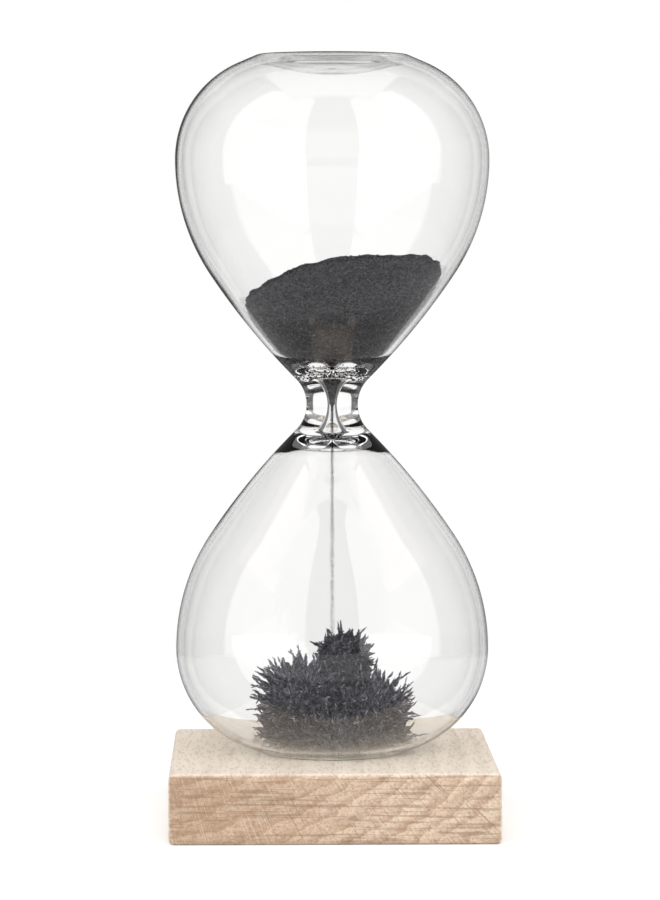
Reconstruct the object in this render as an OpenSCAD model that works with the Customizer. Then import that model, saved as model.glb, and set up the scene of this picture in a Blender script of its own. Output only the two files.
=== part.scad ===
// Magnetic hourglass: a blown glass vessel of iron filings standing on a square beech block.
// Frame: origin at the centre of the block's underside, +Z up, the block's front towards -Y.

/* [Block] */
// Side of the square block
block_w = 68; // [60:1:80]
// Height of the block
block_h = 14.5; // [13:0.5:20]
// Rounding of the block's edges
block_edge_r = 1.4; // [0.5:0.1:2.5]

/* [Magnet pocket] */
// Diameter of the magnet disc
magnet_d = 30; // [20:1:36]
// Thickness of the magnet disc
magnet_t = 5; // [3:0.5:6]
// Thickness of the adhesive over the magnet
adhesive_t = 0.5; // [0.2:0.1:1]
// Thickness of the wooden plug that closes the pocket
plug_t = 4.5; // [3:0.5:5]
// Gap between the magnet and the pocket's wall
pocket_gap = 0.3; // [0.1:0.1:1]

/* [Glass vessel] */
// Height of the vessel, end to end
vessel_h = 147; // [142:1:155]
// Largest outer radius of each bulb
bulb_r = 33; // [31:0.5:34]
// Thickness of the bulb wall
wall_t = 1; // [0.8:0.1:1.6]
// Radius at which each end's ring touches the block
foot_r = 15; // [13:0.5:17]
// Outer radius of the ring's rounding
foot_arc_r = 2.6; // [2.2:0.1:3.5]
// Depth of the dished centre of each end
punt_depth = 3; // [2:0.5:4]

/* [Glass neck] */
// Outer radius of the neck at its narrowest
neck_r = 5.4; // [5:0.1:6.5]
// Radius of the bore at its narrowest
bore_r = 0.7; // [0.6:0.05:1]
// Radius of the neck's outer throat arc
throat_arc_r = 7.6; // [7:0.2:9]
// Angle from the axis at which the throat arc ends
flare_angle = 45; // [43:0.5:46]

/* [Filings] */
// Slope of the upper charge's surface, rising to the right
charge_slope_x = 9; // [0:1:14]
// Slope of the upper charge's surface, rising to the back
charge_slope_y = 14; // [0:1:18]
// Height of the upper charge's surface above the neck, on the axis
charge_h = 22.8; // [18:0.2:26]
// Radius of the falling stream
stream_r = 0.35; // [0.3:0.05:0.5]
// Height of the heap's crest above the block
crest_h = 24.5; // [22:0.5:28]

/* [Hidden] */
eps = 0.01;
$fn = 96;

// The pocket is bored from beneath and holds the adhesive, the magnet and the plug.
pocket_r = magnet_d / 2 + pocket_gap;
plug_gap = 0.1;
adhesive_margin = 1;
pocket_h = plug_t + magnet_t + adhesive_t;

// Vessel heights, counted from the neck's middle plane
half_h = vessel_h / 2;
neck_z = block_h + half_h;

// Outer arcs from the neck out to the belly. The flank arc ends where the belly arc,
// carried on to the vertical, reaches the bulb's full radius.
flank_arc_r = 145;
belly_arc_r = 43.5;
belly_angle = acos(
    (bulb_r - neck_r - throat_arc_r * (1 - cos(flare_angle)) + flank_arc_r * cos(flare_angle) - belly_arc_r)
    / (flank_arc_r - belly_arc_r)
);
flank_c = [
    neck_r + throat_arc_r * (1 - cos(flare_angle)) - flank_arc_r * cos(flare_angle),
    (throat_arc_r + flank_arc_r) * sin(flare_angle)
];
belly_c = [bulb_r - belly_arc_r, flank_c[1] - (flank_arc_r - belly_arc_r) * sin(belly_angle)];

// The shoulder arc's circle is as high as the vessel's end. A straight line that touches it
// and the foot ring's arc joins the two.
shoulder_arc_r = half_h - belly_c[1];
shoulder_c = [bulb_r - shoulder_arc_r, belly_c[1]];
foot_c = [foot_r, half_h - foot_arc_r];
shoulder_to_foot = foot_c - shoulder_c;
shoulder_angle = atan2(shoulder_to_foot[1], shoulder_to_foot[0])
    - acos((shoulder_arc_r - foot_arc_r) / norm(shoulder_to_foot));

// The dished end is an arc about a centre on the axis, outside the vessel.
punt_arc_r = (foot_r * foot_r + punt_depth * punt_depth) / (2 * punt_depth) - foot_arc_r;
punt_c = [0, half_h - punt_depth + punt_arc_r];
punt_angle = atan2(foot_r, punt_arc_r + foot_arc_r - punt_depth);

// Inner neck: a trumpet from the bore to a lip, and a dome from the lip onto the flank's inner surface.
// Angles are from the axis.
funnel_arc_r = 16;
funnel_angle = 24;
lip_arc_r = 1.6;
lip_angle = 88;
dome_angle = 42;
funnel_c = [bore_r + funnel_arc_r, 0];
lip_start = funnel_c + funnel_arc_r * [-cos(funnel_angle), sin(funnel_angle)];
lip_c = lip_start + lip_arc_r * [cos(funnel_angle), -sin(funnel_angle)];
dome_start = lip_c + lip_arc_r * [-cos(lip_angle), sin(lip_angle)];
// The dome's arc is as large as brings its end onto the flank's inner surface.
lip_n = [cos(lip_angle), -sin(lip_angle)];
flank_n = [cos(dome_angle), -sin(dome_angle)];
flank_in = flank_c + (flank_arc_r - wall_t) * flank_n;
dome_arc_r = ((flank_in - dome_start) * flank_n) / (1 - lip_n * flank_n);
dome_c = dome_start - dome_arc_r * lip_n;

// The fill hole in the top end, and the bead of glass melted into it
fill_hole_r = 2.2;
bead_h = 0.9;

// Filings stay this far off the glass.
filings_gap = 0.3;

// The heap: a skirt that spreads over the vessel's floor, and lobes, each a centre and a radius.
// Heights are above the block.
skirt_z = 2;
skirt_h = 11;
skirt_bottom_r = 17;
skirt_top_r = 12;
lobes = [[[-6.5, -1, 10], 9], [[7.5, -1, 8.5], 9], [[1, 2, 9.5], 9.5]];

// The crest is a stump that stands in the heap, a little to the right of the axis.
crest_x = 2;
crest_foot_z = 12;
crest_foot_r = 8.5;
crest_top_r = 4;

// Point of the circle about centre c at angle a
function on_circle(c, r, a) = c + r * [cos(a), sin(a)];

// Points of an arc about centre c, from angle a0 to angle a1. The first is left out,
// because the piece of outline before it ends there.
function arc(c, r, a0, a1, steps) =
    [for (i = [1:steps]) on_circle(c, r, a0 + (a1 - a0) * i / steps)];

// Outline of both halves, end to end: the given half, mirrored in the neck plane, and the half itself
function both_halves(half, neck) = concat(
    [for (i = [len(half) - 1:-1:0]) [half[i][0], -half[i][1]]], [[neck, 0]], half
);

// The end of the vessel from the shoulder to the axis, moved in by inset
function end_outline(inset) = concat(
    arc(shoulder_c, shoulder_arc_r - inset, 0, shoulder_angle, 10),
    [on_circle(foot_c, foot_arc_r - inset, shoulder_angle)],
    arc(foot_c, foot_arc_r - inset, shoulder_angle, 90, 5),
    arc(foot_c, foot_arc_r - inset, 90, 90 + punt_angle, 4),
    arc(punt_c, punt_arc_r + inset, -90 + punt_angle, -90, 4)
);

// Half outline of the outer surface, from the neck to the middle of the end
outer_half = concat(
    arc([neck_r + throat_arc_r, 0], throat_arc_r, 180, 180 - flare_angle, 8),
    arc(flank_c, flank_arc_r, -flare_angle, -belly_angle, 6),
    arc(belly_c, belly_arc_r, -belly_angle, 0, 9),
    end_outline(0)
);

// Half outline of the hollow, from the bore to the middle of the end. Gap moves it in from the glass.
function inner_half(gap) = concat(
    arc(funnel_c, funnel_arc_r + gap, 180, 180 - funnel_angle, 6),
    arc(lip_c, lip_arc_r + gap, 180 - funnel_angle, 180 - lip_angle, 6),
    arc(dome_c, dome_arc_r - gap, -lip_angle, -dome_angle, 6),
    arc(flank_c, flank_arc_r - wall_t - gap, -dome_angle, -belly_angle, 5),
    arc(belly_c, belly_arc_r - wall_t - gap, -belly_angle, 0, 9),
    end_outline(wall_t + gap)
);

// Square of width w and depth d with corners rounded to r, centred
module rounded_rectangle(w, d, r) {
    square([w - 2 * r, d], center = true);
    square([w, d - 2 * r], center = true);
    for (x = [-1, 1], y = [-1, 1])
        translate([x * (w / 2 - r), y * (d / 2 - r)]) circle(r, $fn = 32);
}

// Block with every edge rounded: three crossed bars share their common solid.
module rounded_block(w, h, r) {
    intersection() {
        linear_extrude(h) rounded_rectangle(w, w, r);
        translate([0, w / 2, h / 2]) rotate([90, 0, 0]) linear_extrude(w) rounded_rectangle(w, h, r);
        translate([-w / 2, 0, h / 2]) rotate([90, 0, 90]) linear_extrude(w) rounded_rectangle(w, h, r);
    }
}

// The space inside the vessel, moved in from the glass by gap
module hollow(gap) {
    translate([0, 0, neck_z]) rotate_extrude() polygon(both_halves(inner_half(gap), bore_r - gap));
}

// Everything above height z, within reach of the vessel
module above(z) {
    translate([-bulb_r, -bulb_r, z]) cube([2 * bulb_r, 2 * bulb_r, vessel_h]);
}

module base_block() {
    color("#CDAF96") difference() {
        rounded_block(block_w, block_h, block_edge_r);
        translate([0, 0, -eps]) cylinder(r = pocket_r, h = pocket_h + eps);
    }
}

module magnet_disc() {
    color("#5A5A5E") translate([0, 0, plug_t]) cylinder(d = magnet_d, h = magnet_t);
}

module magnet_adhesive() {
    color("#E8E2C8") translate([0, 0, plug_t + magnet_t]) cylinder(r = magnet_d / 2 - adhesive_margin, h = adhesive_t);
}

module pocket_plug() {
    color("#C7A98C") cylinder(r = pocket_r - plug_gap, h = plug_t);
}

module glass_vessel() {
    color("#DDE6E8", 0.35) difference() {
        translate([0, 0, neck_z]) rotate_extrude() polygon(both_halves(outer_half, neck_r));
        hollow(0);
        translate([0, 0, neck_z + half_h - punt_depth - 2 * wall_t]) cylinder(r = fill_hole_r, h = 4 * wall_t);
    }
}

// The bead fills the hole, level with the wall inside and crowned a little outside.
module fill_seal() {
    inner_z = neck_z + half_h - punt_depth - wall_t;
    crown_r = (fill_hole_r * fill_hole_r + bead_h * bead_h) / (2 * bead_h);
    color("#E6ECED", 0.5) translate([0, 0, inner_z]) intersection() {
        cylinder(r = fill_hole_r, h = wall_t + bead_h);
        translate([0, 0, wall_t + bead_h - crown_r]) sphere(crown_r);
    }
}

module filings_upper() {
    color("#4B4950") difference() {
        intersection() {
            hollow(filings_gap);
            above(neck_z + dome_start[1]);
        }
        translate([0, 0, neck_z + charge_h]) rotate([charge_slope_y, -charge_slope_x, 0])
            translate([-2 * bulb_r, -2 * bulb_r, 0]) cube([4 * bulb_r, 4 * bulb_r, vessel_h]);
    }
}

module filings_throat() {
    color("#3E3C41") intersection() {
        hollow(filings_gap);
        above(neck_z);
        translate([0, 0, neck_z]) cylinder(r = dome_start[0] + lip_arc_r, h = dome_start[1]);
    }
}

module filings_stream() {
    color("#6C6A6E") translate([0, 0, block_h + crest_h]) cylinder(r = stream_r, h = half_h - crest_h);
}

module heap() {
    intersection() {
        hollow(filings_gap);
        translate([0, 0, block_h]) union() {
            translate([0, 0, skirt_z]) cylinder(r1 = skirt_bottom_r, r2 = skirt_top_r, h = skirt_h);
            for (lobe = lobes)
                translate(lobe[0]) sphere(lobe[1]);
        }
    }
}

module filings_mound() {
    color("#47454B") heap();
}

module filings_crest() {
    color("#3C3A40") difference() {
        translate([crest_x, 0, block_h + crest_foot_z])
            cylinder(r1 = crest_foot_r, r2 = crest_top_r, h = crest_h - crest_foot_z);
        heap();
    }
}

base_block();
magnet_disc();
magnet_adhesive();
pocket_plug();
glass_vessel();
fill_seal();
filings_upper();
filings_throat();
filings_stream();
filings_mound();
filings_crest();
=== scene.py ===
"""Magnetic hourglass: a blown glass vessel of iron filings on a beech block with a hidden magnet."""

import math
from itertools import product

import bpy
import numpy as np
from bpy.props import FloatProperty, FloatVectorProperty, IntProperty, PointerProperty
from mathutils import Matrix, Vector


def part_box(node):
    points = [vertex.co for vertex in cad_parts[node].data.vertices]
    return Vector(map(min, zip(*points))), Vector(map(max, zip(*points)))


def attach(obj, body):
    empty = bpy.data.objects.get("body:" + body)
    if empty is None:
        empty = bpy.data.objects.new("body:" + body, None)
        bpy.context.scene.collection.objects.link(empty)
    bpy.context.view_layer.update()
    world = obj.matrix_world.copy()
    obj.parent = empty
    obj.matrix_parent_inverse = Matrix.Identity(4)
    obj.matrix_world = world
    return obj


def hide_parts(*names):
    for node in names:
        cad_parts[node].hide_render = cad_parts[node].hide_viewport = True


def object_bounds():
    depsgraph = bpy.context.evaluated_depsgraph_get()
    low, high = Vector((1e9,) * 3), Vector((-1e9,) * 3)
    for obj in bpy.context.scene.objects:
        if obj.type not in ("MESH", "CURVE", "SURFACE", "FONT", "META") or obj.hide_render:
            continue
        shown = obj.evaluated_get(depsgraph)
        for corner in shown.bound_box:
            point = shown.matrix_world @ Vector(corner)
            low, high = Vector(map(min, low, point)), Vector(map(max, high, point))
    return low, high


bl_info = {
    "name": "Magnetic Hourglass",
    "version": (1, 0, 0),
    "blender": (4, 5, 0),
    "location": "View3D > Sidebar > Hourglass",
    "description": "Builds a glass hourglass of iron filings on a beech block",
    "category": "Add Mesh",
}

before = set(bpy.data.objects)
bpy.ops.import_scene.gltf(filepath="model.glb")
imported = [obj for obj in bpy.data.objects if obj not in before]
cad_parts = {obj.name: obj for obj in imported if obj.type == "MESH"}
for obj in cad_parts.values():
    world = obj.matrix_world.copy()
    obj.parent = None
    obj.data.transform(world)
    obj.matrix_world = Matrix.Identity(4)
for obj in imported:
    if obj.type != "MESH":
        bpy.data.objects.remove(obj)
CAD_LOW, CAD_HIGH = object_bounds()
BLOCK_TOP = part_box("base_block")[1][2]
VESSEL_LOW, VESSEL_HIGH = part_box("glass_vessel")
MAGNET_LOW, MAGNET_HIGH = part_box("magnet_disc")
CREST_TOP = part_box("filings_crest")[1][2]

HALF_HEIGHT = (VESSEL_HIGH[2] - VESSEL_LOW[2]) / 2
NECK_Z = (VESSEL_HIGH[2] + VESSEL_LOW[2]) / 2
BULB_RADIUS = (VESSEL_HIGH[0] - VESSEL_LOW[0]) / 2
MM = 0.001
MOUTH = 7.5 * MM  # height above the neck at which the throat opens into the bulb


# ---------------------------------------------------------------- settings


def length(name, description, default):
    """A size in metres."""
    return FloatProperty(name=name, description=description, default=default, unit="LENGTH", precision=5)


def angle(name, description, default):
    """An angle, given in degrees and kept in radians."""
    return FloatProperty(name=name, description=description, default=math.radians(default), subtype="ANGLE")


def colour(name, description, default):
    """A linear colour."""
    return FloatVectorProperty(
        name=name, description=description, default=default, subtype="COLOR", min=0, max=1,
    )


def power(name, description, default):
    """A brightness or a strength, from 0 up."""
    return FloatProperty(name=name, description=description, default=default, min=0)


class VesselSettings(bpy.types.PropertyGroup):
    """Sizes of the blown glass vessel that its outer box doesn't give."""

    wall: length("Wall", "Thickness of the bulb wall", 1.0 * MM)
    foot_radius: length("Foot radius", "Radius at which each end's ring touches the block", 15 * MM)
    foot_arc: length("Foot rounding", "Outer radius of the ring's rounding", 2.6 * MM)
    dish_depth: length("Dish depth", "Depth of the dished centre of each end", 3 * MM)
    neck_radius: length("Neck radius", "Outer radius of the neck at its narrowest", 5.4 * MM)
    bore_radius: length("Bore radius", "Radius of the bore at its narrowest", 0.7 * MM)
    throat_arc: length("Throat arc", "Radius of the neck's outer throat arc", 7.6 * MM)
    flare: angle("Flare", "Angle from the axis at which the throat arc ends", 45)
    flank_arc: length("Flank arc", "Radius of the long arc above the throat", 145 * MM)
    belly_arc: length("Belly arc", "Radius of the arc up to the widest point", 43.5 * MM)
    bead_radius: length("Seal radius", "Radius of the bead melted into the fill hole", 2.6 * MM)
    bead_height: length("Seal height", "How far the bead stands out of the dished end", 0.8 * MM)
    ripple: length("Ripple", "How far the inner wall wanders, as blown glass does", 0.05 * MM)
    segments: IntProperty(name="Segments", description="Steps round the axis", default=160, min=32, max=256)
    tint: colour("Tint", "Colour of the glass", (0.99, 0.99, 0.985))
    # Painted shade: the colour the glass takes towards its edge-on outline, which darkens its rims.
    rim: colour("Rim", "Colour of the glass where it is seen edge on", (0.3, 0.3, 0.3))


class ChargeSettings(bpy.types.PropertyGroup):
    """The filings still in the upper bulb, and the thread that falls from them."""

    level: length("Level", "Height of the surface above the neck, on the axis", 23.2 * MM)
    rise_right: angle("Rise to the right", "Slope of the surface towards +X", 9)
    rise_back: angle("Rise to the back", "Slope of the surface towards +Y", 14)
    grain: length("Grain", "Typical size of a grain", 0.46 * MM)
    stream_radius: length("Stream radius", "Radius of the falling thread", 0.34 * MM)
    steel: colour("Steel", "Colour of the filings", (0.017, 0.0165, 0.020))


class HeapSettings(bpy.types.PropertyGroup):
    """The filings that the magnet raises into spikes."""

    filing_width: length("Filing width", "Widest part of one filing", 0.31 * MM)
    filing_length: length("Filing length", "Length of a typical filing", 1.35 * MM)
    spike_width: length("Spike width", "Width of a spike at its root", 1.0 * MM)
    spike_length: length("Spike length", "Length of a typical spike outside the heap", 3.5 * MM)
    spikes: IntProperty(name="Spikes", description="Number of spikes on the heap", default=900, min=50)
    strands: IntProperty(name="Filings", description="Filings in each spike", default=20, min=3)
    fuzz: IntProperty(name="Fuzz", description="Loose filings for each spike", default=8, min=0)
    steel: colour("Steel", "Colour of the filings", (0.092, 0.090, 0.106))


class BlockSettings(bpy.types.PropertyGroup):
    """The beech of the block."""

    pale: colour("Pale wood", "Colour between the growth rings", (0.87, 0.765, 0.655))
    dark: colour("Ring", "Colour of the growth rings' late wood", (0.44, 0.29, 0.185))
    ray: colour("Ray", "Colour of the fine rays and flecks", (0.27, 0.19, 0.13))
    oiled: colour("End grain", "What the end grain's oil multiplies the colour by", (0.86, 0.775, 0.69))
    ring_spacing: length("Ring spacing", "Distance between growth rings", 3.7 * MM)


class StudioSettings(bpy.types.PropertyGroup):
    """Camera and light."""

    distance: length("Distance", "Camera's distance from the object's axis, along the floor", 0.782)
    height: length("Height", "Camera's height above the floor", 0.130)
    azimuth: angle("Azimuth", "Camera's turn round the axis, towards -X", 1.14)
    tilt: angle("Tilt", "How far the camera looks down", 3.78)
    lens: FloatProperty(name="Lens", description="Focal length in millimetres", default=148.5, min=20)
    shift: FloatProperty(name="Shift", description="Sideways shift of the lens", default=-0.0024)
    backdrop: power("Backdrop", "Brightness of the card behind", 1.05)
    softbox: power("Soft boxes", "Brightness of the soft boxes", 1.6)
    overhead: power("Overhead", "Brightness of the soft box above", 1.1)
    table: power("Table", "Brightness of the table in front, in reflections", 0.75)
    key: power("Key", "Strength of the light from the left", 1.35)
    fill: power("Fill", "Strength of the light from the right", 1.15)
    room: power("Room", "Brightness that the room sheds", 0.62)
    shade: power("Shade", "Brightness of the room in reflections", 0.15)


# ---------------------------------------------------------------- meshes


def put_mesh(name, points, *polygons, smooth=True, tones=None):
    """A new object from an array of points and arrays of corner indices, one array for each number of sides.
    With tones, one for each of the equal parts that the points fall into, points carry their part's tone."""
    mesh = bpy.data.meshes.new(name)
    corners = np.concatenate([p.ravel() for p in polygons]).astype(np.int32)
    sides = np.concatenate([np.full(len(p), p.shape[1]) for p in polygons])
    mesh.vertices.add(len(points))
    mesh.vertices.foreach_set("co", np.ascontiguousarray(points, dtype=np.float32).ravel())
    mesh.loops.add(len(corners))
    mesh.loops.foreach_set("vertex_index", corners)
    mesh.polygons.add(len(sides))
    mesh.polygons.foreach_set("loop_start", (np.cumsum(sides) - sides).astype(np.int32))
    mesh.polygons.foreach_set("use_smooth", np.full(len(sides), smooth))
    if tones is not None:
        spread = np.repeat(tones, len(points) // len(tones)).astype(np.float32)
        mesh.attributes.new("tone", "FLOAT", "POINT").data.foreach_set("value", spread)
    mesh.update(calc_edges=True)
    piece = bpy.data.objects.new(name, mesh)
    bpy.context.scene.collection.objects.link(piece)
    return piece


def finish_piece(piece, body, slot, material, *nodes):
    """Gives a piece its material, fixes it to the body it moves with and hides the nodes that it takes the
    place of.
    """
    piece.data.materials.append(material)
    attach(piece, body)
    if nodes:
        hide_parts(*nodes)


def put_filings(name, metal, faces, *nodes, **options):
    """A new piece of iron filings, finished."""
    finish_piece(put_mesh(name, *faces, **options), "filings", "iron_filings", metal, *nodes)


def skin(rings, first_pole, last_pole):
    """Points and faces of a closed surface through rings of points, shape (rings, steps, 3), with a pole at
    each end. With the rings in rising order and the steps anticlockwise from above, faces point outwards."""
    count, steps = rings.shape[:2]
    points = np.concatenate([[first_pole], rings.reshape(-1, 3), [last_pole]])
    index = 1 + np.arange(count * steps).reshape(count, steps)
    following = np.roll(index, -1, axis=1)
    quads = np.stack([index[:-1], following[:-1], following[1:], index[1:]], axis=-1).reshape(-1, 4)
    first = np.column_stack([following[0], index[0], np.zeros(steps, int)])
    last = np.column_stack([index[-1], following[-1], np.full(steps, len(points) - 1)])
    return points, quads, np.concatenate([first, last])


def turns(steps):
    """Evenly spaced angles round a full turn."""
    return 2 * np.pi * np.arange(steps) / steps


def round_axis(r, turn, z):
    """Points (r cos turn, r sin turn, z)."""
    return np.stack(np.broadcast_arrays(r * np.cos(turn), r * np.sin(turn), z), axis=-1)


def revolved(outline, steps):
    """The outline's points (r, z) carried round the axis, and its first and last points as the poles."""
    rings = round_axis(outline[1:-1, 0, None], turns(steps), outline[1:-1, 1, None])
    return rings, (0, 0, outline[0, 1]), (0, 0, outline[-1, 1])


def lattice_noise(points, cell, seed):
    """Smooth random values from -1 to 1: random numbers on a cubic lattice of that cell size, blended between
    the eight lattice points round each point with the curve 3t^2 - 2t^3."""
    size = 32
    table = np.random.default_rng(seed).uniform(-1, 1, (size, size, size))
    where = np.asarray(points) / cell
    low = np.floor(where).astype(int)
    blend = where - low
    blend = blend * blend * (3 - 2 * blend)
    total = np.zeros(where.shape[:-1])
    for corner in product((0, 1), repeat=3):
        share = np.prod(np.where(np.array(corner) == 1, blend, 1 - blend), axis=-1)
        at = (low + corner) % size
        total += share * table[at[..., 0], at[..., 1], at[..., 2]]
    return total


def unit(vectors):
    """The vectors at length 1."""
    return vectors / np.maximum(np.linalg.norm(vectors, axis=-1, keepdims=True), 1e-12)


def roughened(rings, depth, cell, seed):
    """The rings moved towards the axis by 0 to 2 times that depth, in lumps of that cell size."""
    inward = depth * (1 + lattice_noise(rings, cell, seed))
    return rings - unit(rings * (1, 1, 0)) * inward[..., None]


def spots_on(rings, count, rng):
    """Random points spread evenly by area over the quads between rings, and the surface's normals there. A
    point is a blend of its quad's four corners, and a normal is the cross product of the quad's diagonals."""
    near, far = rings[:-1], rings[1:]
    corners = np.stack([near, np.roll(near, -1, 1), np.roll(far, -1, 1), far], axis=2).reshape(-1, 4, 3)
    normal = np.cross(corners[:, 2] - corners[:, 0], corners[:, 3] - corners[:, 1])
    area = np.linalg.norm(normal, axis=1)
    pick = rng.choice(len(corners), count, p=area / area.sum())
    u, v = rng.random((2, count, 1))
    a, b, c, d = corners[pick].transpose(1, 0, 2)
    return (1 - v) * ((1 - u) * a + u * b) + v * ((1 - u) * d + u * c), unit(normal[pick])


def grain_mesh(centres, sizes, rng):
    """Points and faces of an eight-sided crumb at each centre: an octahedron whose axes are stretched by
    random factors, turned by a random rotation made from two random vectors."""
    count = len(centres)
    first = unit(rng.normal(size=(count, 3)))
    second = unit(np.cross(first, rng.normal(size=(count, 3))))
    axes = np.stack([first, second, np.cross(first, second)], axis=1)
    axes = axes * (sizes[:, None, None] / 2) * rng.uniform(0.6, 1.3, (count, 3, 1))
    tips = np.stack([axes[:, 0], -axes[:, 0], axes[:, 1], -axes[:, 1], axes[:, 2], -axes[:, 2]], axis=1)
    points = (centres[:, None] + tips).reshape(-1, 3)
    faces = np.array([[0, 2, 4], [2, 1, 4], [1, 3, 4], [3, 0, 4], [2, 0, 5], [1, 2, 5], [3, 1, 5], [0, 3, 5]])
    return points, (faces + 6 * np.arange(count)[:, None, None]).reshape(-1, 3)


def needle_mesh(roots, tips, widths, rng):
    """Points and faces of a three-sided needle from each root to its tip: three rings between the ends, whose
    radii swell and fall, on an axis that bows to one side by a small random amount."""
    count = len(roots)
    along = tips - roots
    reach = np.linalg.norm(along, axis=1, keepdims=True)
    side = unit(np.cross(along, rng.normal(size=(count, 3))))
    up = unit(np.cross(along, side))
    bow = side * reach * rng.normal(0, 0.05, (count, 1))
    turn = turns(3)
    parts = [roots[:, None]]
    for share, swell in ((0.2, 1.0), (0.5, 0.85), (0.8, 0.55)):
        radius = (widths / 2)[:, None, None] * swell * rng.uniform(0.75, 1.3, (count, 1, 1))
        middle = roots + along * share + bow * (4 * share * (1 - share))
        parts.append(middle[:, None] + radius * (
            side[:, None] * np.cos(turn)[:, None] + up[:, None] * np.sin(turn)[:, None]
        ))
    parts.append(tips[:, None])
    points = np.concatenate(parts, axis=1).reshape(-1, 3)
    ring = 1 + np.arange(3)
    after = np.roll(ring, -1)
    quads = np.concatenate([np.column_stack([ring, after, after + 3, ring + 3]) + 3 * k for k in (0, 1)])
    root_faces = np.column_stack([after, ring, np.zeros(3, int)])
    tip_faces = np.column_stack([ring + 6, after + 6, np.full(3, 10)])
    ends = np.concatenate([root_faces, tip_faces])
    shift = 11 * np.arange(count)[:, None, None]
    return points, (quads + shift).reshape(-1, 4), (ends + shift).reshape(-1, 3)


# ---------------------------------------------------------------- the vessel's outline


def arc(centre, radius, start, stop, steps):
    """Points round a centre at that radius, at evenly spaced angles."""
    turn = np.linspace(start, stop, steps + 1)
    return np.asarray(centre) + radius * np.column_stack([np.cos(turn), np.sin(turn)])


def vessel_halves(s):
    """Outer and inner half outlines, from the neck's middle to the middle of the upper end, as (r, h) with h
    from the neck. Each is a chain of arcs that meet smoothly: throat, flank, belly, shoulder, foot ring and
    dish outside; funnel, lip, dome, flank and the same end inside, moved in by the wall's thickness. The
    dome's radius is what brings its end onto the flank."""

    def way(turn):
        return np.array([math.cos(turn), -math.sin(turn)])

    bulb_turn = math.acos(
        (BULB_RADIUS - s.neck_radius - s.throat_arc * (1 - math.cos(s.flare))
         + s.flank_arc * math.cos(s.flare) - s.belly_arc) / (s.flank_arc - s.belly_arc)
    )
    throat = np.array([s.neck_radius + s.throat_arc, 0])
    flank = throat - (s.throat_arc + s.flank_arc) * way(s.flare)
    widest = flank[1] - (s.flank_arc - s.belly_arc) * math.sin(bulb_turn)
    belly = np.array([BULB_RADIUS - s.belly_arc, widest])
    shoulder_arc = HALF_HEIGHT - widest
    shoulder = np.array([BULB_RADIUS - shoulder_arc, widest])
    foot = np.array([s.foot_radius, HALF_HEIGHT - s.foot_arc])
    apart = foot - shoulder
    shoulder_turn = math.atan2(apart[1], apart[0]) - math.acos(
        (shoulder_arc - s.foot_arc) / np.linalg.norm(apart)
    )
    dish_arc = (s.foot_radius**2 + s.dish_depth**2) / (2 * s.dish_depth) - s.foot_arc
    dish = np.array([0, HALF_HEIGHT - s.dish_depth + dish_arc])
    dish_turn = math.atan2(s.foot_radius, dish_arc + s.foot_arc - s.dish_depth)
    down, quarter = -math.pi / 2, math.pi / 2
    bead_turn = 1.3 * s.bead_radius / dish_arc

    def end(inset):
        return [
            arc(shoulder, shoulder_arc - inset, 0, shoulder_turn, 30),
            arc(foot, s.foot_arc - inset, shoulder_turn, quarter, 8),
            arc(foot, s.foot_arc - inset, quarter, quarter + dish_turn, 6),
            arc(dish, dish_arc + inset, down + dish_turn, down + bead_turn, 12),
            arc(dish, dish_arc + inset, down + bead_turn, down, 12),
        ]

    outer = [
        arc(throat, s.throat_arc, math.pi, math.pi - s.flare, 18),
        arc(flank, s.flank_arc, -s.flare, -bulb_turn, 26),
        arc(belly, s.belly_arc, -bulb_turn, 0, 26),
        *end(0),
    ]
    funnel_arc, lip_arc = 16 * MM, 1.6 * MM
    funnel_turn, lip_turn, dome_turn = np.radians([24, 88, 42])
    funnel = np.array([s.bore_radius + funnel_arc, 0])
    lip = funnel - (funnel_arc - lip_arc) * way(funnel_turn)
    lip_way, flank_way = way(lip_turn), way(dome_turn)
    dome_start = lip - lip_arc * lip_way
    dome_end = flank + (s.flank_arc - s.wall) * flank_way
    dome_arc = (dome_end - dome_start) @ flank_way / (1 - lip_way @ flank_way)
    inner = [
        arc(funnel, funnel_arc, math.pi, math.pi - funnel_turn, 16),
        arc(lip, lip_arc, math.pi - funnel_turn, math.pi - lip_turn, 12),
        arc(dome_start - dome_arc * lip_way, dome_arc, -lip_turn, -dome_turn, 24),
        arc(flank, s.flank_arc - s.wall, -dome_turn, -bulb_turn, 24),
        arc(belly, s.belly_arc - s.wall, -bulb_turn, 0, 26),
        *end(s.wall),
    ]
    return without_repeats(np.concatenate(outer)), without_repeats(np.concatenate(inner))


def without_repeats(outline):
    """The outline without points that repeat the one before, and with its last point exactly on the axis."""
    step = np.linalg.norm(np.diff(outline, axis=0), axis=1)
    outline = outline[np.concatenate([[True], step > 1e-7])]
    outline[-1, 0] = 0
    return outline


def both_ends(half):
    """The whole outline in the frame, from the lower pole to the upper: the half mirrored in the neck's
    middle plane, then the half itself."""
    lower = half[:0:-1] * (1, -1)
    return np.concatenate([lower, half]) + (0, NECK_Z)


# ---------------------------------------------------------------- materials


def add(tree, kind, inputs=None, **attributes):
    """A new shader node in the tree, with its attributes set and its inputs linked to sockets or set."""
    node = tree.nodes.new("ShaderNode" + kind)
    for name, value in attributes.items():
        setattr(node, name, value)
    for name, value in (inputs or {}).items():
        if isinstance(value, bpy.types.NodeSocket):
            tree.links.new(value, node.inputs[name])
        else:
            node.inputs[name].default_value = value
    return node


def math_node(tree, operation, *values):
    """The result of a Math node."""
    return add(tree, "Math", dict(enumerate(values)), operation=operation).outputs[0]


def vector_math(tree, operation, *values):
    """The result of a Vector Math node."""
    return add(tree, "VectorMath", dict(enumerate(values)), operation=operation).outputs[0]


def place_in(tree):
    """The piece's own coordinates."""
    return add(tree, "TexCoord").outputs["Object"]


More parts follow.
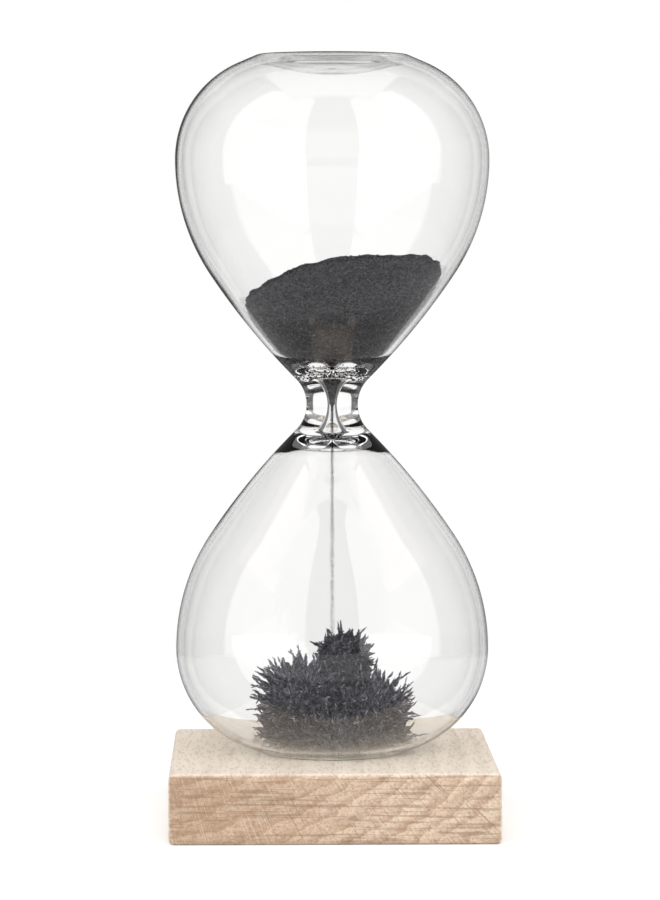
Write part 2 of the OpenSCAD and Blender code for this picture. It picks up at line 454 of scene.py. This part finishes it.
def mixed(tree, factor, low, high, blend_type="MIX"):
    """The colour that is low where factor is 0 and high where it is 1."""
    values = {0: factor, 6: low, 7: high}
    return add(tree, "Mix", values, data_type="RGBA", blend_type=blend_type).outputs[2]


def either(tree, factor, low, high):
    """The shader that is low where factor is 0 and high where it is 1."""
    return add(tree, "MixShader", {0: factor, 1: low, 2: high}).outputs[0]


def ramp(tree, factor, low, high):
    """Factor's span from low to high, stretched smoothly over 0 to 1."""
    node = add(tree, "MapRange", {0: factor, 1: low, 2: high}, interpolation_type="SMOOTHSTEP")
    return node.outputs[0]


def noise(tree, vector, scale, detail=2.0, roughness=0.5, distortion=0.0):
    """A noise texture's value at the vector."""
    return add(tree, "TexNoise", {
        "Vector": vector, "Scale": scale, "Detail": detail, "Roughness": roughness, "Distortion": distortion,
    }).outputs[0]


def new_group(name, inputs, outputs):
    """An empty node group with those named sockets, and its input and output nodes."""
    group = bpy.data.node_groups.new(name, "ShaderNodeTree")
    for label, kind in inputs.items():
        group.interface.new_socket(label, in_out="INPUT", socket_type="NodeSocket" + kind)
    for label, kind in outputs.items():
        group.interface.new_socket(label, in_out="OUTPUT", socket_type="NodeSocket" + kind)
    return group, group.nodes.new("NodeGroupInput"), group.nodes.new("NodeGroupOutput")


def beech_figure_group():
    """Beech in the round. Growth rings are shells about a pith that runs along Y: the distance from the pith,
    shaken by noise, goes through a sawtooth that darkens towards each ring's outer edge. Rays are thin sheets
    that stand on the pith: noise over the angle about it, long along the radius and short along Y. Stains are
    noise drawn out along the rings, and flecks are noise drawn out along Y. The end grain, which faces along
    Y, shows rings and rays most, drinks more oil, carries level saw marks and darkens towards -X."""
    group, given, out = new_group(
        "beech_figure",
        {"Pale": "Color", "Dark": "Color", "Ray": "Color", "Oiled": "Color", "Spacing": "Float"},
        {"Color": "Color", "Height": "Float"},
    )

    def calc(operation, *values):
        return math_node(group, operation, *values)

    place = place_in(group)
    sideways, lengthwise, _ = add(group, "SeparateXYZ", {0: place}).outputs
    normal = add(group, "NewGeometry").outputs["True Normal"]
    facing = add(group, "SeparateXYZ", {0: normal}).outputs[1]
    end = ramp(group, calc("ABSOLUTE", facing), 0.3, 0.9)

    def stretched(x, y, z):
        return add(group, "Mapping", {"Vector": place, "Scale": (x, y, z)}).outputs[0]

    def polar(vector):
        x, _, z = add(group, "SeparateXYZ", {0: vector}).outputs
        square = calc("MULTIPLY_ADD", x, x, calc("MULTIPLY", z, z))
        return calc("SQRT", square), calc("ARCTAN2", x, z)

    def share(value, on_end, elsewhere):
        strength = add(group, "MapRange", {0: end, 3: elsewhere, 4: on_end}).outputs[0]
        return calc("MULTIPLY", value, strength)

    def patches(scale, detail, roughness, low, high):
        return ramp(group, noise(group, stretched(*scale), 1.0, detail, roughness), low, high)

    pith = vector_math(group, "ADD", place, (0.050, 0, -0.084))
    shake = add(group, "TexNoise", {
        "Vector": stretched(60, 9, 110), "Scale": 1.0, "Detail": 5.0, "Roughness": 0.6,
    }).outputs["Color"]
    shift = vector_math(group, "ADD", shake, (-0.5, -0.5, -0.5))
    radius, turn = polar(vector_math(group, "MULTIPLY_ADD", shift, (0.008, 0.008, 0.008), pith))
    still_radius, still_turn = polar(pith)

    def round_pith(angle_at, distance, *scale):
        spot = add(group, "CombineXYZ", {0: angle_at, 1: distance, 2: lengthwise}).outputs[0]
        return vector_math(group, "MULTIPLY", spot, scale)

    saw = calc("FRACT", calc("DIVIDE", radius, given.outputs["Spacing"]))
    late = calc("MULTIPLY", ramp(group, saw, 0.2, 0.97), calc("SUBTRACT", 1.0, ramp(group, saw, 0.95, 1.0)))
    stain = ramp(group, noise(group, round_pith(turn, radius, 14.0, 500.0, 20.0), 1.0, 4.0, 0.65), 0.42, 0.72)
    rays = noise(group, round_pith(still_turn, still_radius, 330.0, 75.0, 420.0), 1.0, 3.0, 0.6)
    dark_ray = ramp(group, rays, 0.60, 0.68)
    pale_ray = ramp(group, rays, 0.43, 0.36)
    fleck = patches((1700, 260, 1700), 3.0, 0.6, 0.50, 0.64)
    tooth = patches((1100, 500, 1600), 4.0, 0.75, 0.40, 0.68)
    streak = patches((75, 75, 1900), 3.0, 0.6, 0.50, 0.64)
    left = ramp(group, sideways, 0.02, -0.036)
    wood, dark, ray, oiled, _ = given.outputs[:5]
    for mask, on_end, elsewhere, tint, blend in (
        (late, 0.5, 0.12, dark, "MIX"),
        (stain, 0.42, 0.12, dark, "MIX"),
        (left, 0.55, 0.0, dark, "MIX"),
        (pale_ray, 0.6, 0.25, (0.84, 0.76, 0.68, 1), "MIX"),
        (dark_ray, 0.6, 0.15, ray, "MIX"),
        (fleck, 0.35, 0.27, ray, "MIX"),
        (streak, 0.5, 0.0, ray, "MIX"),
        (tooth, 0.9, 0.3, (0.82, 0.78, 0.74, 1), "MULTIPLY"),
    ):
        wood = mixed(group, share(mask, on_end, elsewhere), wood, tint, blend)
    wood = mixed(group, end, wood, oiled, "MULTIPLY")
    pores = calc("ADD", fleck, calc("MULTIPLY", dark_ray, 0.5))
    height = calc("SUBTRACT", calc("MULTIPLY", late, 0.2), pores)
    group.links.new(wood, out.inputs["Color"])
    group.links.new(height, out.inputs["Height"])
    return group


def crumb_group():
    """Small random patches, a mask of bright specks for painted glints and a height, all at a given scale."""
    group, given, out = new_group(
        "crumb", {"Scale": "Float"}, {"Patch": "Float", "PaintedGlint": "Float", "Height": "Float"},
    )
    place = place_in(group)
    cells = add(group, "TexVoronoi", {"Vector": place, "Scale": given.outputs["Scale"]})
    value = add(group, "SeparateColor", {0: cells.outputs["Color"]}).outputs[0]
    fine = noise(group, place, math_node(group, "MULTIPLY", given.outputs["Scale"], 1.7), 2.0, 0.6)
    group.links.new(value, out.inputs["Patch"])
    group.links.new(ramp(group, math_node(group, "MULTIPLY", value, fine), 0.42, 0.62), out.inputs["PaintedGlint"])
    group.links.new(math_node(group, "SUBTRACT", fine, cells.outputs["Distance"]), out.inputs["Height"])
    return group


def new_material(name):
    """An empty material with an output node."""
    material = bpy.data.materials.new(name)
    material.use_nodes = True
    material.node_tree.nodes.clear()
    return material, material.node_tree, add(material.node_tree, "OutputMaterial")


def shade(tree, out, inputs):
    """Makes a Principled shader with those inputs the material's surface."""
    shader = add(tree, "BsdfPrincipled", inputs)
    tree.links.new(shader.outputs[0], out.inputs[0])


def use_group(tree, name, **inputs):
    """The named group's outputs, as placed in this tree."""
    node = tree.nodes.new("ShaderNodeGroup")
    node.node_tree = bpy.data.node_groups[name]
    for label, value in inputs.items():
        node.inputs[label].default_value = value
    return node.outputs


def beech(name, settings, lift=1.0):
    """Oiled beech, its pale wood's colour multiplied by lift."""
    material, tree, out = new_material(name)
    figure = use_group(
        tree, "beech_figure", Pale=(*[lift * c for c in settings.pale], 1), Dark=(*settings.dark, 1),
        Ray=(*settings.ray, 1), Oiled=(*settings.oiled, 1), Spacing=settings.ring_spacing,
    )
    bump = add(tree, "Bump", {"Height": figure["Height"], "Strength": 0.35, "Distance": 0.0001})
    shade(tree, out, {
        "Base Color": figure["Color"], "Roughness": 0.5, "Specular IOR Level": 0.35, "Normal": bump.outputs[0],
    })
    return material


def blown_glass(name, settings):
    """Clear soda glass with faint draw lines, painted darker where it is seen edge on: painted shade along its
    outline. The light that falls on the filings and the block passes straight through it."""
    material, tree, out = new_material(name)
    drawn = add(tree, "Mapping", {"Vector": place_in(tree), "Scale": (90, 90, 14)}).outputs[0]
    bump = add(tree, "Bump", {
        "Height": noise(tree, drawn, 1.0, 1.0), "Strength": 0.25, "Distance": 0.00012,
    })
    # Painted shade: the glass's colour darkens towards the rim, where it is seen edge on.
    rim = ramp(tree, add(tree, "LayerWeight").outputs["Facing"], 0.72, 0.95)
    tint = mixed(tree, rim, (*settings.tint, 1), (*settings.rim, 1))
    shader = add(tree, "BsdfPrincipled", {
        "Base Color": tint, "Roughness": 0.0, "IOR": 1.47, "Transmission Weight": 1.0,
        "Normal": bump.outputs[0],
    })
    clear = add(tree, "BsdfTransparent", {"Color": (0.95, 0.955, 0.95, 1)})
    path = add(tree, "LightPath")
    lit = either(tree, path.outputs["Is Diffuse Ray"], shader.outputs[0], clear.outputs[0])
    both = either(tree, path.outputs["Is Shadow Ray"], lit, clear.outputs[0])
    tree.links.new(both, out.inputs[0])
    return material


def iron(name, steel, scale, painted_glint):
    """Iron filings: each as bright as its own tone, and solid masses in small dull patches, with a few bright
    specks painted into the colour as glints."""
    material, tree, out = new_material(name)
    crumb = use_group(tree, "crumb", Scale=scale)
    tone = math_node(tree, "MAXIMUM", add(tree, "Attribute", attribute_name="tone").outputs["Fac"],
                     math_node(tree, "MULTIPLY", crumb["Patch"], 0.35))
    dull = mixed(tree, tone, (*[0.12 * c for c in steel], 1), (*[5.0 * c for c in steel], 1))
    # Painted highlight: bright specks mixed into the base colour stand in for glinting facets.
    bright = mixed(tree, math_node(tree, "MULTIPLY", crumb["PaintedGlint"], painted_glint), dull, (0.42, 0.42, 0.47, 1))
    bump = add(tree, "Bump", {"Height": crumb["Height"], "Strength": 0.6, "Distance": 0.00015})
    shade(tree, out, {"Base Color": bright, "Metallic": 0.35, "Roughness": 0.52, "Normal": bump.outputs[0]})
    return material


def nickel(name):
    """Bright nickel plate with fine tumbling marks."""
    material, tree, out = new_material(name)
    crumb = use_group(tree, "crumb", Scale=900.0)
    tone = mixed(tree, crumb["Patch"], (0.52, 0.51, 0.49, 1), (0.60, 0.59, 0.57, 1))
    rough = add(tree, "MapRange", {0: crumb["Patch"], 3: 0.22, 4: 0.38}).outputs[0]
    shade(tree, out, {"Base Color": tone, "Metallic": 1.0, "Roughness": rough})
    return material


def hot_glue(name):
    """Cloudy amber adhesive."""
    material, tree, out = new_material(name)
    cloud = noise(tree, place_in(tree), 350.0, 3.0)
    tone = mixed(tree, cloud, (0.70, 0.62, 0.42, 1), (0.82, 0.77, 0.62, 1))
    shade(tree, out, {"Base Color": tone, "Roughness": 0.4})
    return material


def pale_floor(name):
    """Matt white paper with the faintest tooth. Reflections see mostly through it, as if it lay in shade."""
    material, tree, out = new_material(name)
    tone = mixed(tree, noise(tree, place_in(tree), 40.0, 3.0), (0.93, 0.93, 0.93, 1), (0.96, 0.96, 0.96, 1))
    mirrored = add(tree, "LightPath").outputs["Is Glossy Ray"]
    shader = add(tree, "BsdfPrincipled", {
        "Base Color": tone, "Roughness": 0.9, "Specular IOR Level": 0.1,
    })
    clear = add(tree, "BsdfTransparent")
    sheet = either(tree, math_node(tree, "MULTIPLY", mirrored, 0.8), shader.outputs[0], clear.outputs[0])
    tree.links.new(sheet, out.inputs[0])
    return material


def glow(name, strength):
    """A bright card, a little dimmer towards its foot."""
    material, tree, out = new_material(name)
    rise = add(tree, "SeparateXYZ", {0: place_in(tree)}).outputs[1]
    level = add(tree, "MapRange", {0: rise, 1: -0.3, 2: 0.0, 3: 0.92, 4: 1.0}).outputs[0]
    lamp = add(tree, "Emission", {"Strength": math_node(tree, "MULTIPLY", level, strength)})
    tree.links.new(lamp.outputs[0], out.inputs[0])
    return material


# ---------------------------------------------------------------- pieces


class HOURGLASS_OT_stage(bpy.types.Operator):
    """Make the floor, the lights and the camera"""

    bl_idname = "hourglass.stage"
    bl_label = "Studio"

    def execute(self, context):
        s = context.scene.hourglass_studio
        self.aim_camera(context.scene, s)
        self.lay_floor()
        self.light(context.scene, s)
        context.scene.view_settings.view_transform = "Standard"
        return {"FINISHED"}

    def aim_camera(self, scene, s):
        """The camera stands off the axis by distance and height, and looks down by tilt."""
        camera = bpy.data.objects.new("camera", bpy.data.cameras.new("camera"))
        camera.data.lens = s.lens
        camera.data.clip_start = 0.01
        camera.data.shift_x = s.shift
        camera.location = (-s.distance * math.sin(s.azimuth), -s.distance * math.cos(s.azimuth), s.height)
        ahead = Vector((
            math.sin(s.azimuth) * math.cos(s.tilt), math.cos(s.azimuth) * math.cos(s.tilt), -math.sin(s.tilt)
        ))
        camera.rotation_euler = ahead.to_track_quat("-Z", "Y").to_euler()
        scene.collection.objects.link(camera)
        scene.camera = camera

    def lay_floor(self):
        """A round floor under the block."""
        radius, steps = 0.27, 128
        rim = round_axis(radius, turns(steps), CAD_LOW[2])
        floor = put_mesh("floor", rim, np.arange(steps)[None])
        floor.data.materials.append(pale_floor("floor_paper"))

    def card(self, name, width, height, turn, distance, rise, strength):
        """A glowing card that faces the object and shows only in reflections and refractions. It is fixed to
        the camera and follows it round the object: turn is its angle round the object from the camera."""
        flat = np.array([[-1, -1, 0], [1, -1, 0], [1, 1, 0], [-1, 1, 0]]) * (width / 2, height / 2, 1)
        sheet = put_mesh(name, flat, np.arange(4)[None])
        sheet.data.materials.append(glow(name + "_light", strength))
        sheet.parent = bpy.context.scene.camera
        away = bpy.context.scene.hourglass_studio.distance
        sheet.location = (distance * math.sin(turn), rise, distance * math.cos(turn) - away)
        sheet.rotation_euler = (0, turn, 0)
        for way in ("camera", "diffuse", "shadow", "volume_scatter"):
            setattr(sheet, "visible_" + way, False)
        return sheet

    def light(self, scene, s):
        """Two tall soft boxes in front, a white backdrop, a soft box above, a table, two broad suns and a
        pale room. The backdrop shows through the glass but isn't mirrored in it, which keeps its rims dark."""
        backdrop = self.card("backdrop", 1.7, 1.7, math.pi, 1.2, 0.15, s.backdrop)
        backdrop.visible_glossy = False
        for side, turn in (("left", -53), ("right", 53)):
            self.card("softbox_" + side, 1.3, 2.4, math.radians(turn), 1.0, 1.05, s.softbox)
        table = self.card("table_in_front", 3.0, 1.6, 0, 1.1, -0.19, s.table)
        table.rotation_euler = (math.pi / 2, 0, 0)
        above = self.card("softbox_above", 0.9, 0.9, 0, 0, 1.05, s.overhead)
        above.rotation_euler = (math.pi / 2, 0, 0)
        for name, turn, rise, strength in (("key", -38, 55, s.key), ("fill", 42, 50, s.fill)):
            lamp = bpy.data.objects.new(name, bpy.data.lights.new(name, "SUN"))
            lamp.data.energy = strength
            lamp.data.angle = math.radians(70)
            turn, rise = math.radians(turn), math.radians(rise)
            spot = Vector((math.sin(turn) * math.cos(rise), -math.cos(turn) * math.cos(rise), math.sin(rise)))
            lamp.location = spot
            lamp.rotation_euler = (-spot).to_track_quat("-Z", "Y").to_euler()
            lamp.visible_glossy = False
            lamp.visible_transmission = False
            scene.collection.objects.link(lamp)
        world = bpy.data.worlds.new("room")
        world.use_nodes = True
        tree = world.node_tree
        tree.nodes.clear()
        path = add(tree, "LightPath")
        seen = math_node(tree, "MAXIMUM", path.outputs["Is Camera Ray"],
                         math_node(tree, "MULTIPLY", path.outputs["Is Diffuse Ray"], s.room))
        brightness = math_node(tree, "MAXIMUM", seen, s.shade)
        light = add(tree, "Background", {"Color": (1, 1, 1, 1), "Strength": brightness})
        out = add(tree, "OutputWorld")
        tree.links.new(light.outputs[0], out.inputs[0])
        scene.world = world


class HOURGLASS_OT_block(bpy.types.Operator):
    """Finish the beech block, its plug, the magnet and the adhesive"""

    bl_idname = "hourglass.block"
    bl_label = "Block and magnet"

    def execute(self, context):
        s = context.scene.hourglass_block
        for node, material in (
            ("base_block", beech("beech", s)),
            ("pocket_plug", beech("plug_beech", s, 0.94)),
            ("magnet_disc", nickel("nickel_plate")),
            ("magnet_adhesive", hot_glue("amber_adhesive")),
        ):
            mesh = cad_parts[node].data
            mesh.materials.clear()
            mesh.materials.append(material)
        return {"FINISHED"}


class HOURGLASS_OT_vessel(bpy.types.Operator):
    """Blow the glass vessel and melt the seal into its upper end"""

    bl_idname = "hourglass.vessel"
    bl_label = "Glass vessel"

    def execute(self, context):
        s = context.scene.hourglass_vessel
        outer_half, inner_half = vessel_halves(s)
        outer, inner = both_ends(outer_half), both_ends(inner_half)
        fill_hole = (outer[:, 0] < s.bead_radius) & (outer[:, 1] > NECK_Z + HALF_HEIGHT / 2)
        bead = s.bead_height * (1 + np.cos(np.pi * outer[:, 0] / s.bead_radius)) / 2
        outer[:, 1] += np.where(fill_hole, bead, 0)
        rings, low, high = revolved(inner, s.segments)
        flat = rings * (1, 1, 0)
        # The ripple starts 6 mm from the axis and has its full depth 10 mm further out
        fade = np.clip((np.linalg.norm(flat, axis=-1) - 6 * MM) / (10 * MM), 0, 1)
        wander = s.ripple * fade * lattice_noise(rings, 11 * MM, 5)
        rings = rings + unit(flat) * wander[..., None]
        outside = skin(*revolved(outer, s.segments))
        inside = skin(rings, low, high)
        count = len(outside[0])
        points = np.concatenate([outside[0], inside[0]])
        quads = np.concatenate([outside[1], inside[1][:, ::-1] + count])
        ends = np.concatenate([outside[2], inside[2][:, ::-1] + count])
        vessel = put_mesh("blown_vessel", points, quads, ends)
        glass = blown_glass("blown_glass", s)
        finish_piece(vessel, "vessel", "vessel_glass", glass, "glass_vessel", "fill_seal")
        return {"FINISHED"}


def inner_reach(context):
    """The hollow's half outline, from the neck to the widest point, as heights and radii that both rise."""
    half = vessel_halves(context.scene.hourglass_vessel)[1]
    rising = half[: np.argmax(half[:, 0]) + 1]
    return rising[:, 1], rising[:, 0]


class HOURGLASS_OT_charge(bpy.types.Operator):
    """Fill the upper bulb, the throat and the stream with grains"""

    bl_idname = "hourglass.charge"
    bl_label = "Upper charge and stream"

    rounding = 1.2 * MM  # of the surface's rim
    gap = 0.32 * MM  # between the filings and the glass
    grains = 24000
    falling = 5400

    def execute(self, context):
        s = context.scene.hourglass_charge
        rng = np.random.default_rng(11)
        metal = iron("iron_grains", s.steel, 2300.0, 0.35)
        rings, low, high = self.body(context, s)
        put_filings("upper_charge", metal, skin(rings, low, high), "filings_upper")
        spots, outward = spots_on(rings, self.grains, rng)
        sizes = s.grain * rng.uniform(0.6, 1.35, len(spots))
        lift = sizes[:, None] * rng.uniform(-0.3, 0.3, (len(spots), 1))
        crumbs = grain_mesh(spots + outward * lift, sizes, rng)
        put_filings("upper_grains", metal, crumbs, smooth=False, tones=rng.random(len(spots)) ** 2)
        self.throat(context, metal)
        self.stream(s, metal, rng)
        return {"FINISHED"}

    def surface(self, s, x, y):
        """Height of the free surface: a plane that rises to the right and the back, with low lumps on it."""
        level = NECK_Z + s.level + x * math.tan(s.rise_right) + y * math.tan(s.rise_back)
        place = np.stack([x, y, np.zeros_like(x)], axis=-1)
        broad, fine = lattice_noise(place, 14 * MM, 3), lattice_noise(place, 3 * MM, 4)
        return level + 0.9 * MM * broad + 0.25 * MM * fine

    def body(self, context, s):
        """Rings of the charge's skin: up the glass from the funnel's mouth to the surface's rim, then in over
        the surface to the axis. At each angle the rim is where the free surface crosses the glass. High
        powers of the share of the way to it round the rim off."""
        heights, radii = inner_reach(context)
        turn = turns(220)
        h = np.linspace(MOUTH, 45 * MM, 900)[:, None]
        r = np.interp(h, heights, radii) - self.gap
        over = self.surface(s, r * np.cos(turn), r * np.sin(turn)) - (NECK_Z + h)
        rim = np.take_along_axis(np.broadcast_to(h, over.shape), np.argmax(over < 0, axis=0)[None], 0)[0]
        share = np.linspace(0, 1, 60)[:, None]
        side_h = MOUTH + share * (rim - MOUTH)
        side_r = np.interp(side_h, heights, radii) - self.gap - self.rounding * share**8
        side = round_axis(side_r, turn, NECK_Z + side_h)
        inward = np.linspace(0.98, 0.02, 70)[:, None]
        rim_r = np.interp(rim, heights, radii) - self.gap - self.rounding
        x, y = inward * rim_r * np.cos(turn), inward * rim_r * np.sin(turn)
        top = np.stack([x, y, self.surface(s, x, y) + self.rounding * (0.2 - inward**12)], axis=-1)
        rings = np.concatenate([side, top])
        centre = self.surface(s, np.zeros(1), np.zeros(1))[0]
        return roughened(rings, 0.1 * MM, 0.8 * MM, 6), (0, 0, NECK_Z + MOUTH), (0, 0, centre)

    def throat(self, context, metal):
        """The plug of filings in the funnel: the funnel's own outline, a hair inside the glass."""
        heights, radii = inner_reach(context)
        h = np.linspace(0, MOUTH + 0.3 * MM, 48)
        r = np.interp(h, heights, radii) - 0.08 * MM
        outline = np.concatenate([[[0, 0]], np.column_stack([r, h]), [[0, h[-1]]]]) + (0, NECK_Z)
        rings, low, high = revolved(outline, 72)
        plug = skin(roughened(rings, 0.05 * MM, 0.5 * MM, 8), low, high)
        put_filings("throat_plug", metal, plug, "filings_throat")

    def stream(self, s, metal, rng):
        """Falling grains: each at a random height, set off the axis by a normal spread that widens a little
        as the thread falls, and thinning out as the grains gain speed."""
        count = self.falling
        fall = rng.random(count) ** 1.9
        low = CREST_TOP - 1.0 * MM
        z = NECK_Z + 0.5 * MM - fall * (NECK_Z - low)
        spread = s.stream_radius * (0.45 + 0.45 * fall)
        x, y = rng.normal(0, 1, count) * spread, rng.normal(0, 1, count) * spread
        centres = np.column_stack([x, y, z])
        off = np.linalg.norm(centres[:, :2], axis=1, keepdims=True)
        centres[:, :2] *= np.minimum(1, 1.6 * s.stream_radius / np.maximum(off, 1e-9))
        sizes = rng.uniform(0.07, 0.15, count) * MM
        thread = grain_mesh(centres, sizes, rng)
        put_filings("falling_thread", metal, thread, "filings_stream", smooth=False, tones=rng.random(count))


class HOURGLASS_OT_heap(bpy.types.Operator):
    """Raise the fallen filings into spikes over the magnet"""

    bl_idname = "hourglass.heap"
    bl_label = "Spiky heap"

    # Centre from the axis and above the block, and half widths, in millimetres
    lobes = (
        ((-6.6, -1, 11.0), (6.9, 7.2, 6.8)),
        ((8.0, -1, 8.6), (6.4, 7.2, 5.9)),
        ((1.4, 2, 9.6), (6.4, 8.4, 7.6)),
        ((0.5, 0, 3.4), (14.2, 13.4, 5.0)),
    )
    crest = ((2.3, 0, 19.4), (5.0, 4.4, 4.7))
    heart = (0.8, 0, 6)

    def execute(self, context):
        s = context.scene.hourglass_heap
        rng = np.random.default_rng(23)
        metal = iron("iron_needles", s.steel, 2600.0, 0.4)
        floor = self.floor_height(context)
        body = self.star(self.lobes)
        body[..., 2] = np.maximum(body[..., 2], floor(np.linalg.norm(body[..., :2], axis=-1)) + 0.3 * MM)
        tower = self.ellipsoid(*self.crest)
        for part, rings, node in (("heap", body, "filings_mound"), ("crest", tower, "filings_crest")):
            core = skin(rings, rings[0].mean(0), rings[-1].mean(0))
            put_filings(part + "_core", metal, core, node)
        needles = self.filings(s, body, s.spikes, 1.0, floor, rng)
        part = np.digitize(needles[0][:, 0], (-7 * MM, 1 * MM, 8.5 * MM))
        for number, name in enumerate(("left_spikes", "middle_spikes", "inner_spikes", "right_spikes")):
            self.put_spikes(name, [n[part == number] for n in needles], 1.0, metal, rng)
        needles = self.filings(s, tower, s.spikes // 6, 0.62, floor, rng)
        # Painted shade: the crest's filings get tones of at most 0.15, which darkens the crest against the
        # heap below.
        self.put_spikes("crest_spikes", needles, 0.15, metal, rng)
        return {"FINISHED"}

    def put_spikes(self, name, needles, top, metal, rng):
        """One piece of filings, given as roots, tips and widths, whose brightest tone is top."""
        spikes = needle_mesh(*needles, rng)
        put_filings(name, metal, spikes, smooth=False, tones=self.tones(needles[0], top, rng))

    def tones(self, roots, top, rng):
        """Tones of filings, mostly dark with a few bright ones. They fade towards the block: painted shade on
        the filings low in the heap."""
        # Painted shade: each filing's tone is scaled down by how close it stands to the block.
        height = np.clip((roots[:, 2] - BLOCK_TOP) / (8 * MM), 0, 1)
        return top * (0.08 + 0.92 * height) * rng.random(len(roots)) ** 3

    def floor_height(self, context):
        """A function from radius to the height of the glass floor in the lower bulb."""
        half = vessel_halves(context.scene.hourglass_vessel)[1]
        end = half[np.argmax(half[:, 0]):][::-1]
        return lambda r: NECK_Z - np.interp(r, end[:, 0], end[:, 1])

    def directions(self):
        """Unit vectors on a grid of latitude and longitude, rising, without the poles."""
        rise = np.radians(np.linspace(-88, 88, 90))[:, None]
        return round_axis(np.cos(rise), turns(140), np.sin(rise))

    def star(self, lobes):
        """The surface round all the lobes, seen from the heart: along each direction, the far crossings of
        the lobes' ellipsoids are joined by a power sum, which rounds the valleys between them."""
        way, heart = self.directions(), np.array(self.heart) * MM
        total, sharpness = 0, 10
        for centre, radii in lobes:
            radii = np.array(radii) * MM
            start = (heart - np.array(centre) * MM) / radii
            step = way / radii
            a, b = (step**2).sum(-1), step @ start
            root = b * b - a * (start @ start - 1)
            reach = np.where(root > 0, (-b + np.sqrt(np.maximum(root, 0))) / a, 0)
            total = total + np.maximum(reach, 0) ** sharpness
        return heart + (0, 0, BLOCK_TOP) + way * (total ** (1 / sharpness))[..., None]

    def ellipsoid(self, centre, radii):
        """An ellipsoid's own grid of points."""
        return np.array(centre) * MM + (0, 0, BLOCK_TOP) + self.directions() * np.array(radii) * MM

    def pull(self, points):
        """Direction of the magnet's field: the sum over small patches of its upper face, less its lower face,
        of the vector from the patch over its length cubed."""
        ring = np.linspace(0.1, 0.96, 7)
        turn = np.radians(np.arange(0, 360, 24))
        reach = (MAGNET_HIGH[0] - MAGNET_LOW[0]) / 2 * ring[:, None]
        share = np.repeat(ring, len(turn))
        flat = np.stack([reach * np.cos(turn), reach * np.sin(turn)], axis=-1).reshape(-1, 2)
        field = np.zeros_like(points)
        for height, sign in ((MAGNET_HIGH[2], 1), (MAGNET_LOW[2], -1)):
            patch = np.column_stack([flat, np.full(len(flat), height)])
            off = points[:, None] - patch
            weight = sign * share / np.linalg.norm(off, axis=-1) ** 3
            field = field + (off * weight[..., None]).sum(1)
        return unit(field)

    def filings(self, s, rings, count, stretch, floor, rng):
        """Roots, tips and widths of filings in spikes. A spike stands on a random spot, points between the
        surface's normal and the field, and bends a little. Its filings lie along it at random shares of its
        length, off its line by a random part of a radius that shrinks to nothing at its tip. As many loose
        filings again as there are spikes, times fuzz, stand on the surface between them."""
        spots, normals = spots_on(rings, count, rng)
        way = unit(0.85 * normals + 0.45 * self.pull(spots) + 0.14 * rng.normal(size=normals.shape))
        reach = s.spike_length * stretch * rng.uniform(0.55, 1.25, (count, 1))
        bend = 0.22 * rng.normal(size=way.shape)
        spots, way, reach, bend = (np.repeat(a, s.strands, axis=0) for a in (spots, way, reach, bend))
        share = rng.random((len(spots), 1))
        lateral = rng.normal(size=way.shape)
        lateral = unit(lateral - way * (lateral * way).sum(1, keepdims=True))
        width = s.spike_width / 2 * (1 - share) ** 0.7 * np.sqrt(rng.random((len(spots), 1)))
        middles = spots + reach * (way * share + bend * share**2) + lateral * width
        lean = unit(way + 2 * bend * share - 0.15 * lateral + 0.2 * rng.normal(size=way.shape))
        loose, upright = spots_on(rings, count * s.fuzz, rng)
        drift = unit(0.6 * upright + 0.5 * self.pull(loose) + 0.32 * rng.normal(size=loose.shape))
        middles = np.concatenate([middles, loose + drift * 0.3 * MM])
        lean = np.concatenate([lean, drift])
        half = s.filing_length / 2 * rng.uniform(0.6, 1.35, (len(middles), 1))
        roots, tips = middles - lean * half, middles + lean * half
        for points in (roots, tips):
            low = floor(np.linalg.norm(points[:, :2], axis=1)) + 0.15 * MM
            points[:, 2] = np.maximum(points[:, 2], low)
        return roots, tips, s.filing_width * rng.uniform(0.65, 1.35, len(roots))


class HOURGLASS_PT_panel(bpy.types.Panel):
    """The hourglass's pieces and their settings"""

    bl_idname = "HOURGLASS_PT_panel"
    bl_label = "Magnetic Hourglass"
    bl_space_type = "VIEW_3D"
    bl_region_type = "UI"
    bl_category = "Hourglass"

    def draw(self, context):
        for operator, holder in PIECES:
            box = self.layout.box()
            box.operator(operator.bl_idname)
            settings = getattr(context.scene, holder)
            for name in settings.bl_rna.properties.keys():
                if name not in ("rna_type", "name"):
                    box.prop(settings, name)


SETTINGS = {
    "hourglass_studio": StudioSettings,
    "hourglass_block": BlockSettings,
    "hourglass_vessel": VesselSettings,
    "hourglass_charge": ChargeSettings,
    "hourglass_heap": HeapSettings,
}
PIECES = (
    (HOURGLASS_OT_stage, "hourglass_studio"),
    (HOURGLASS_OT_block, "hourglass_block"),
    (HOURGLASS_OT_vessel, "hourglass_vessel"),
    (HOURGLASS_OT_charge, "hourglass_charge"),
    (HOURGLASS_OT_heap, "hourglass_heap"),
)


def register():
    for holder, group in SETTINGS.items():
        bpy.utils.register_class(group)
        setattr(bpy.types.Scene, holder, PointerProperty(type=group))
    for operator, _ in PIECES:
        bpy.utils.register_class(operator)
    bpy.utils.register_class(HOURGLASS_PT_panel)


def unregister():
    bpy.utils.unregister_class(HOURGLASS_PT_panel)
    for operator, _ in reversed(PIECES):
        bpy.utils.unregister_class(operator)
    for holder, group in reversed(SETTINGS.items()):
        delattr(bpy.types.Scene, holder)
        bpy.utils.unregister_class(group)


def main():
    """Registers the add-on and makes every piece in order."""
    register()
    beech_figure_group()
    crumb_group()
    bpy.ops.hourglass.stage()
    bpy.ops.hourglass.block()
    bpy.ops.hourglass.vessel()
    bpy.ops.hourglass.charge()
    bpy.ops.hourglass.heap()


if __name__ == "__main__":
    main()
